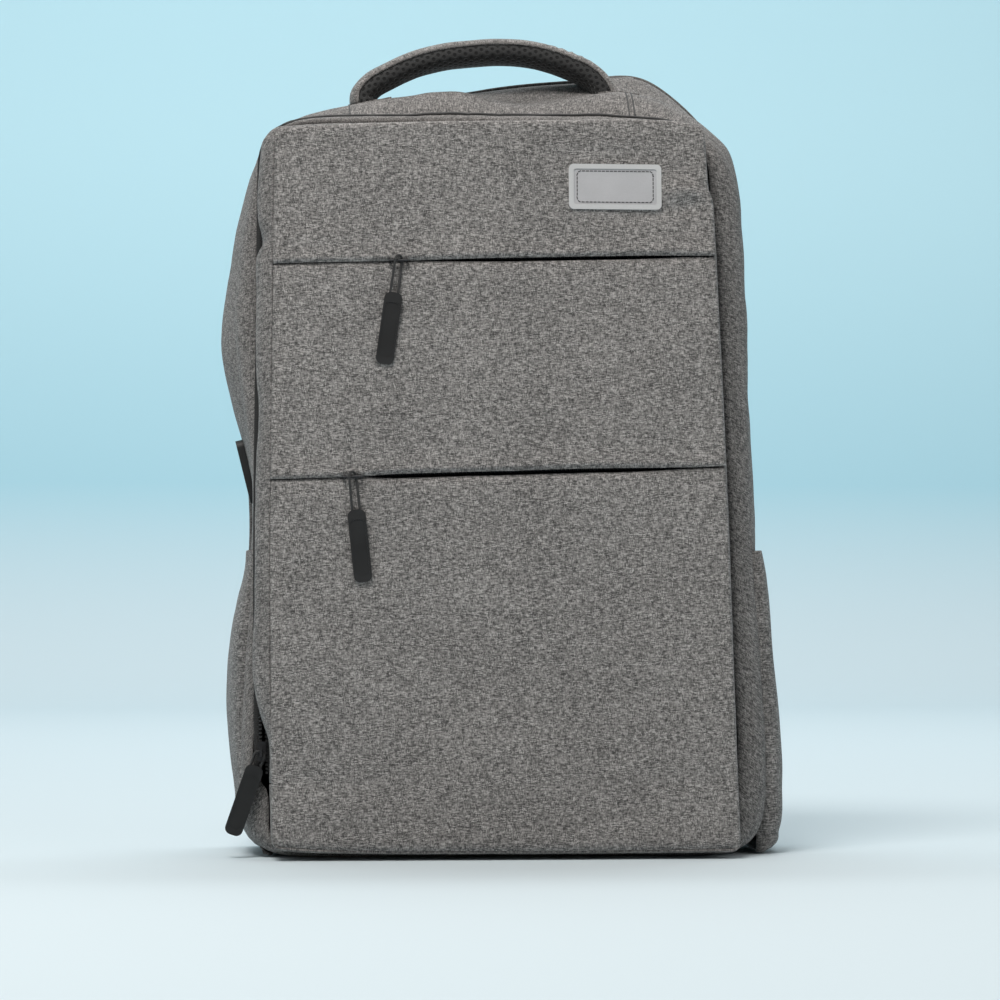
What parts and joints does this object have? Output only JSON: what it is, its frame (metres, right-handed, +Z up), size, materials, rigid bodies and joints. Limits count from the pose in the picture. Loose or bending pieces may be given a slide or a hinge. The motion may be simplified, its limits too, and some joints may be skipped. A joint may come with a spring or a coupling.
{
  "type": "laptop backpack",
  "caption": "Upright soft laptop backpack with flat zipped front, opening front section, side pockets, padded carry handle, shoulder straps and a side charging port",
  "frame": {"origin": "on the floor plane, at the middle of the width and of the depth of the closed bag without its back padding", "axes": "+X to the viewer's right when the front face is seen, -Y out of the front face, +Z up towards the handle"},
  "size_m": [0.35, 0.186, 0.5179],
  "materials": {
    "shell_fabric": "heathered grey woven polyester, matt",
    "base_fabric": "darker heathered woven polyester, matt",
    "lining": "thin dark lining cloth",
    "air_mesh": "black open-cell spacer mesh over foam",
    "webbing": "black ribbed webbing and tape",
    "zip": "black nylon coil and woven tape",
    "pull_cord": "black braided cord",
    "rubber": "soft black moulded rubber",
    "plastic": "black moulded plastic",
    "slider_metal": "black painted zinc",
    "steel": "plated steel shell",
    "badge_rubber": "light grey moulded rubber, bare"
  },
  "bodies": {
    "bag": {"back_panel": "air_mesh", "gusset_left": "shell_fabric", "gusset_right": "shell_fabric", "roof_center": "shell_fabric", "roof_left": "shell_fabric", "roof_right": "shell_fabric", "base_panel": "base_fabric", "base_board": "lining", "front_foot": "shell_fabric", "main_zip_outer": "zip", "pocket_left": "shell_fabric", "pocket_right": "shell_fabric", "pocket_hem_left": "webbing", "pocket_hem_right": "webbing", "back_piping": "webbing", "back_pad_left": "air_mesh", "back_pad_right": "air_mesh", "lumbar_pad": "air_mesh", "trolley_band": "base_fabric", "sleeve_divider": "lining", "strap_left": "air_mesh", "strap_right": "air_mesh", "strap_lock_left": "plastic", "strap_lock_right": "plastic", "strap_web_left": "webbing", "strap_web_right": "webbing", "strap_anchor_left": "base_fabric", "strap_anchor_right": "base_fabric", "handle_tab_left": "shell_fabric", "handle_tab_right": "shell_fabric", "port_frame": "rubber", "port_shell": "steel", "port_tongue": "plastic"},
    "handle": {"handle_cover": "shell_fabric", "handle_mesh": "air_mesh"},
    "front_section": {"panel_top": "shell_fabric", "panel_mid": "shell_fabric", "panel_low": "shell_fabric", "wrap_left": "shell_fabric", "wrap_right": "shell_fabric", "wrap_top": "shell_fabric", "front_liner": "lining", "pocket_divider": "lining", "upper_zip": "zip", "lower_zip": "zip", "main_zip_inner": "zip", "badge_plate": "badge_rubber", "badge_rim": "badge_rubber"},
    "upper_slider": {"upper_slider": "slider_metal"},
    "upper_pull": {"upper_pull_cord": "pull_cord", "upper_pull_tab": "rubber"},
    "lower_slider": {"lower_slider": "slider_metal"},
    "lower_pull": {"lower_pull_cord": "pull_cord", "lower_pull_tab": "rubber"},
    "main_slider": {"main_slider": "slider_metal"},
    "main_pull": {"main_pull_cord": "pull_cord", "main_pull_tab": "rubber"}
  },
  "joints": [
    {"name": "front_opening", "type": "hinge", "parent": "bag", "child": "front_section", "pos_m": [0, -0.06764, 0.04618], "axis": [1, 0, 0], "range_deg": [0, 80]},
    {"name": "handle_tip", "type": "hinge", "parent": "bag", "child": "handle", "pos_m": [0, 0.042, 0.48], "axis": [1, 0, 0], "range_deg": [-25, 40], "stiffness_Nm_per_rad": 0.08},
    {"name": "upper_zip_slide", "type": "slide", "parent": "front_section", "child": "upper_slider", "axis": [0.9997, 0.0015, 0.0261], "range_m": [-0.055, 0.18]},
    {"name": "upper_pull_swing", "type": "hinge", "parent": "upper_slider", "child": "upper_pull", "pos_m": [-0.06498, -0.05407, 0.36247], "axis": [-0.9997, -0.0015, -0.0261], "range_deg": [0, 160]},
    {"name": "lower_zip_slide", "type": "slide", "parent": "front_section", "child": "lower_slider", "axis": [0.9995, 0.0018, 0.0314], "range_m": [-0.03, 0.21]},
    {"name": "lower_pull_swing", "type": "hinge", "parent": "lower_slider", "child": "lower_pull", "pos_m": [-0.09295, -0.06145, 0.23045], "axis": [-0.9995, -0.0018, -0.0314], "range_deg": [0, 160]},
    {"name": "main_zip_slide", "type": "slide", "parent": "bag", "child": "main_slider", "axis": [0.0007, 0.0558, 0.9984], "range_m": [-0.005, 0.35]},
    {"name": "main_pull_swing", "type": "hinge", "parent": "main_slider", "child": "main_pull", "pos_m": [-0.14755, -0.04268, 0.06457], "axis": [-1, 0, 0.0007], "range_deg": [0, 150]}
  ]
}
